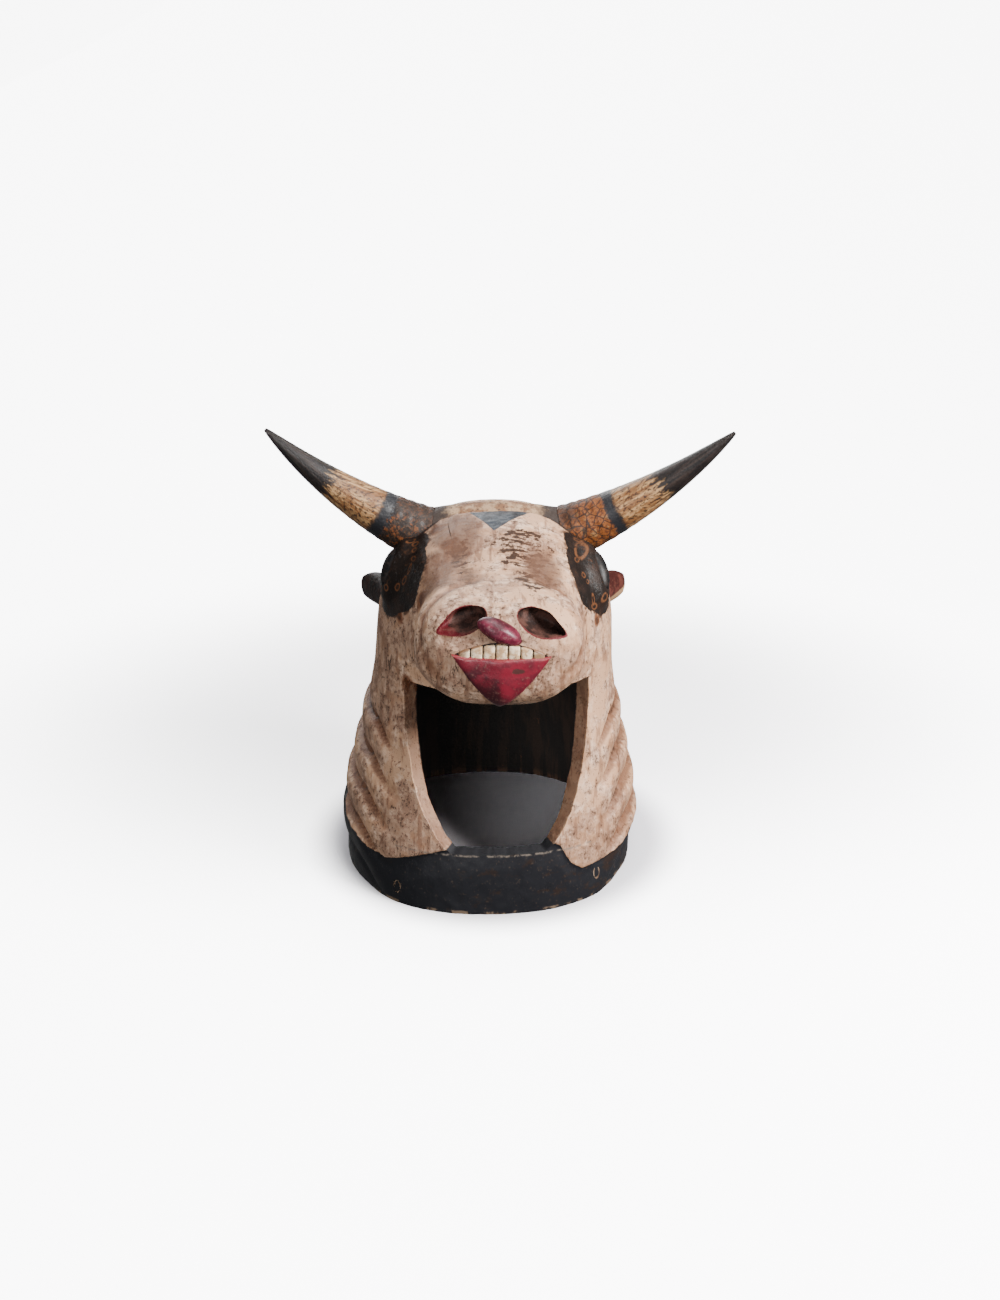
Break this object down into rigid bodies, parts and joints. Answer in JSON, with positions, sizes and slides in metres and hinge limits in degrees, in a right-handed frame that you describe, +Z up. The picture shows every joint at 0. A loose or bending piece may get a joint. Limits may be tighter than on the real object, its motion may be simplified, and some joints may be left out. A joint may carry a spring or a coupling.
{
  "type": "ox-head helmet mask",
  "caption": "Carved wooden ox-head helmet mask with horns, worn over the whole head, open at the neck and below the muzzle.",
  "frame": {"origin": "on the surface that the rim stands on, under the middle of the whole mask's width and depth", "axes": "+Z up, -Y the way the ox looks, +X to the right for a viewer in front of it"},
  "size_m": [0.4928, 0.4388, 0.4894],
  "materials": {
    "painted_wood": "worn chalky paint, white over wood, black at the foot and round the eyes, crimson lip and tongue",
    "bone": "dry bare skull bone, stained",
    "horn": "natural cattle horn, dark tips, satin",
    "hide": "stiff dried hide, red-brown",
    "eye_glass": "dark glossy glass"
  },
  "bodies": {
    "root": {"helmet": "painted_wood", "poll_bone": "bone", "horn_left": "horn", "horn_right": "horn", "ear_left": "hide", "ear_right": "hide", "eye_left": "eye_glass", "eye_right": "eye_glass"}
  },
  "joints": []
}
